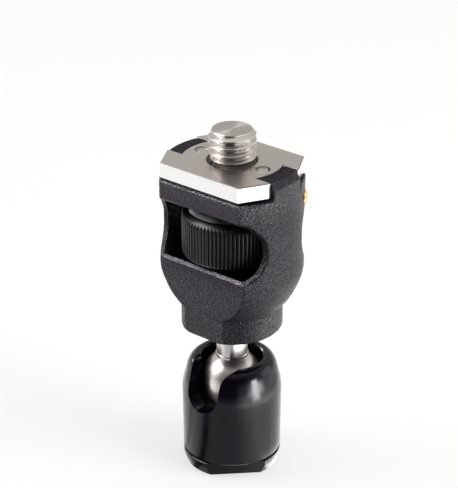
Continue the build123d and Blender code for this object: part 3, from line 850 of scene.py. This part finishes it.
def floor_paper():
    mat = Material("floor_paper")
    mottle = mat.noise(mat.co, scale=18.0, detail=4.0)
    mat.set(Base_Color=mat.mix(mottle, (0.90, 0.90, 0.90), (0.93, 0.93, 0.93)),
            Roughness=0.9, Specular_IOR_Level=0.1)
    radius, x, y, _ = mat.cylindrical()
    turn = mat.turns(x, y)
    near = mat.ramp(turn, [(at, value / TABLE_GAIN) for at, value in RING_NEAR])
    away = mat.ramp(turn, [(at, value / TABLE_GAIN) for at, value in RING_AWAY])
    away = mat.shaded(away, mat.ramp(radius, AWAY_GAIN))
    away = mat.shaded(away, (1 / AWAY_LEVEL,) * 3)
    away = mat.mix(mat.rises(radius, 0.1445, 0.1475), away, (0.292, 0.292, 0.292))
    ring = mat.mix(mat.rises(radius, 0.036, 0.046), near, away)
    # a bright painted patch of glow close by on the +X side, seen only in reflections, which the
    # edge of the base catches
    patch = mat.multiply(
        mat.ramp(radius, [(0.0106, 0.0), (0.0115, 1.0), (0.0144, 1.0), (0.0150, 0.0)]),
        mat.ramp(turn, [(0.492, 0.0), (0.503, 1.0), (0.575, 0.95), (0.61, 0.4), (0.66, 0.0)]))
    boost = mat.add(1.0, mat.multiply(patch, 3.6))
    # the glow fades away from the object on the camera's side
    front = mat.ramp(turn, [(0.20, 0.0), (0.26, 1.0), (0.385, 1.0), (0.42, 0.0)])
    far = mat.rises(radius, 0.070, 0.115)
    fade = mat.multiply(mat.dimmed(mat.multiply(front, far), 0.97), boost)
    reflected = mat.node("ShaderNodeEmission", {
        "Color": ring, "Strength": mat.multiply(fade, TABLE_GAIN)}).outputs[0]
    rays = mat.node("ShaderNodeLightPath").outputs
    # to the camera the paper glows a little, so shadows on it stay faint
    glow = mat.node("ShaderNodeEmission", {"Color": (1, 1, 1), "Strength": 1.0}).outputs[0]
    soft = mat.node("ShaderNodeMixShader", {
        0: mat.multiply(rays["Is Camera Ray"], 0.62), 1: mat.bsdf.outputs[0], 2: glow}).outputs[0]
    seen = mat.node("ShaderNodeMixShader", {
        0: rays["Is Glossy Ray"], 1: soft, 2: reflected}).outputs[0]
    mat.feed(mat.out.inputs[0], seen)
    return mat.mat


def make_floor():
    bpy.ops.mesh.primitive_plane_add(size=8.0, location=(0, 0, -0.00002))
    floor = bpy.context.object
    floor.name = "floor"
    floor.data.materials.append(floor_paper())


# ------------------------------------------------------------------ world
CAMERA_SIDE = math.radians(-52)
# (0 behind the object to 1 on the camera's side, strength)
WORLD_SIDE = [(0.0, 0.60), (0.45, 0.62), (0.70, 0.38), (0.84, 0.11), (0.94, 0.03), (1.0, 0.012)]
WORLD_OVERHEAD = 0.75


def make_world():
    scene = bpy.context.scene
    scene.world = scene.world or bpy.data.worlds.new("studio")
    sky = Graph(scene.world)
    x, y, z = sky.separate(sky.node("ShaderNodeTexCoord").outputs["Generated"])
    flat = sky.length(x, y)
    along = sky.add(sky.multiply(x, math.cos(CAMERA_SIDE)), sky.multiply(y, math.sin(CAMERA_SIDE)))
    along = sky.math("DIVIDE", along, sky.math("MAXIMUM", flat, 0.001))
    towards = sky.add(sky.multiply(along, 0.5), 0.5)
    strength = sky.node("ShaderNodeMix", {
        0: sky.rises(z, 0.55, 0.92), 2: sky.ramp(towards, WORLD_SIDE), 3: WORLD_OVERHEAD,
    }, data_type="FLOAT").outputs[0]
    background = sky.node("ShaderNodeBackground", {0: (1.0, 0.975, 0.95), 1: strength})
    sky.node("ShaderNodeOutputWorld", {0: background.outputs[0]})


# ------------------------------------------------------------------ lights
MIDDLE_Z = 0.04          # the lights aim at this height on the axis
WHITE, COOL, TEAL = (1, 1, 1), (0.97, 0.98, 1.0), (0.94, 0.98, 1.0)


def aimed(azimuth, elevation, distance):
    """Place and rotation of a light that looks at the middle of the object. Degrees, metres."""
    azimuth, elevation = math.radians(azimuth), math.radians(elevation)
    place = (distance * math.cos(elevation) * math.cos(azimuth),
             distance * math.cos(elevation) * math.sin(azimuth),
             MIDDLE_Z + distance * math.sin(elevation))
    view = Vector((0, 0, MIDDLE_Z)) - Vector(place)
    return place, view.to_track_quat("-Z", "Y").to_euler()


def lying(azimuth, distance):
    """Place and rotation of a strip that lies on the table and faces up."""
    azimuth = math.radians(azimuth)
    place = (distance * math.cos(azimuth), distance * math.sin(azimuth), 0.0012)
    return place, (math.pi, 0, azimuth)


def area_light(name, pose, width, height, power, colour=WHITE):
    light = bpy.data.lights.new(name, "AREA")
    light.energy = power
    light.color = colour
    light.shape = "RECTANGLE"
    light.size = width
    light.size_y = height
    ob = bpy.data.objects.new(name, light)
    bpy.context.scene.collection.objects.link(ob)
    ob.location, ob.rotation_euler = pose
    return ob


def highlight(name, pose, width, height, radiance, colour=WHITE, only_on=None):
    """A softbox that only shows as a highlight, on all pieces or on one collection."""
    ob = area_light(name, pose, width, height, math.pi * width * height * radiance, colour)
    ob.visible_diffuse = False
    ob.visible_camera = False
    if only_on:
        ob.light_linking.receiver_collection = only_on


def receivers(name, object_name):
    collection = bpy.data.collections.new(name)
    collection.objects.link(bpy.data.objects[object_name])
    return collection


def make_lights():
    key = area_light("key_right", aimed(16, 40, 0.8), width=0.40, height=0.40, power=3.6,
                     colour=(1, 0.985, 0.96))
    area_light("fill_left", aimed(-147, 44, 0.8), width=0.40, height=0.40, power=1.6)
    top = area_light("top", aimed(100, 80, 0.9), width=0.8, height=0.8, power=1.3)
    key.visible_glossy = False
    top.visible_glossy = False

    highlight("box_right", aimed(48, 14, 0.8), width=0.50, height=0.45, radiance=1.3)
    highlight("box_left_high", aimed(-143, 44, 0.8), width=0.46, height=0.46, radiance=4.2)

    # strips that only the black socket shows: they draw the streaks on its shoulders
    socket = receivers("socket_highlights", "socket_housing")
    # name, azimuth, inner and outer distance, width, radiance
    for name, azimuth, inner, outer, width, radiance in (
            ("streak_near", 3, 0.066, 0.16, 0.026, 17.0),
            ("streak_far", 5, 0.16, 0.80, 0.14, 27.0)):
        highlight(name, lying(azimuth, (inner + outer) / 2), outer - inner, width, radiance,
                  COOL, socket)
    highlight("streak_up", aimed(4, 3.0, 0.85), width=0.20, height=0.10, radiance=44.0,
              colour=COOL, only_on=socket)
    highlight("shoulder_left", aimed(177, 26, 0.8), width=0.20, height=0.40, radiance=15.0,
              colour=TEAL, only_on=socket)

    # the coated casting has its own: from above for its rims, a low one for its blisters
    coat = receivers("coat_highlights", "head_casting")
    # name, (azimuth, elevation, distance), width, height, radiance
    for name, direction, width, height, radiance in (
            ("rim_right", (11, 50, 0.8), 0.36, 0.36, 24.0),
            ("rim_front", (-60, 66, 0.8), 0.5, 0.5, 2.5),
            ("sparkle", (-16, 5, 0.7), 0.16, 0.12, 60.0),
            ("rim_left", (-142, 43, 0.8), 0.36, 0.36, 26.0)):
        highlight(name, aimed(*direction), width, height, radiance, only_on=coat)


# ------------------------------------------------------------------ camera
CAMERA_PLACE = (215.948, -260.553, 144.746 + PLATE_TOP)    # mm
CAMERA_HEADING = math.radians(39.759)    # from +Y towards -X
CAMERA_PITCH = math.radians(25.733)      # downwards
FOCAL_LENGTH = 138.992975                # mm, on a square 36 mm sensor


def make_camera():
    place = Vector(CAMERA_PLACE) * MM
    cos_heading, sin_heading = math.cos(CAMERA_HEADING), math.sin(CAMERA_HEADING)
    cos_pitch, sin_pitch = math.cos(CAMERA_PITCH), math.sin(CAMERA_PITCH)
    right = Vector((cos_heading, sin_heading, 0))
    level = Vector((-sin_heading, cos_heading, 0))
    forward = level * cos_pitch - Vector((0, 0, sin_pitch))
    up = level * sin_pitch + Vector((0, 0, cos_pitch))
    camera = bpy.data.cameras.new("camera")
    camera.sensor_width = 36.0
    camera.sensor_height = 36.0
    camera.sensor_fit = "AUTO"
    camera.lens = FOCAL_LENGTH
    camera.clip_start = 0.01
    camera.clip_end = 50
    ob = bpy.data.objects.new("camera", camera)
    bpy.context.scene.collection.objects.link(ob)
    ob.matrix_world = Matrix([(right[i], up[i], -forward[i], place[i]) for i in range(3)]
                             + [(0, 0, 0, 1)])
    bpy.context.scene.camera = ob


make_screw()
make_wheel()
make_head()
make_floor()
make_world()
make_lights()
make_camera()
bpy.context.scene.view_settings.view_transform = "Standard"
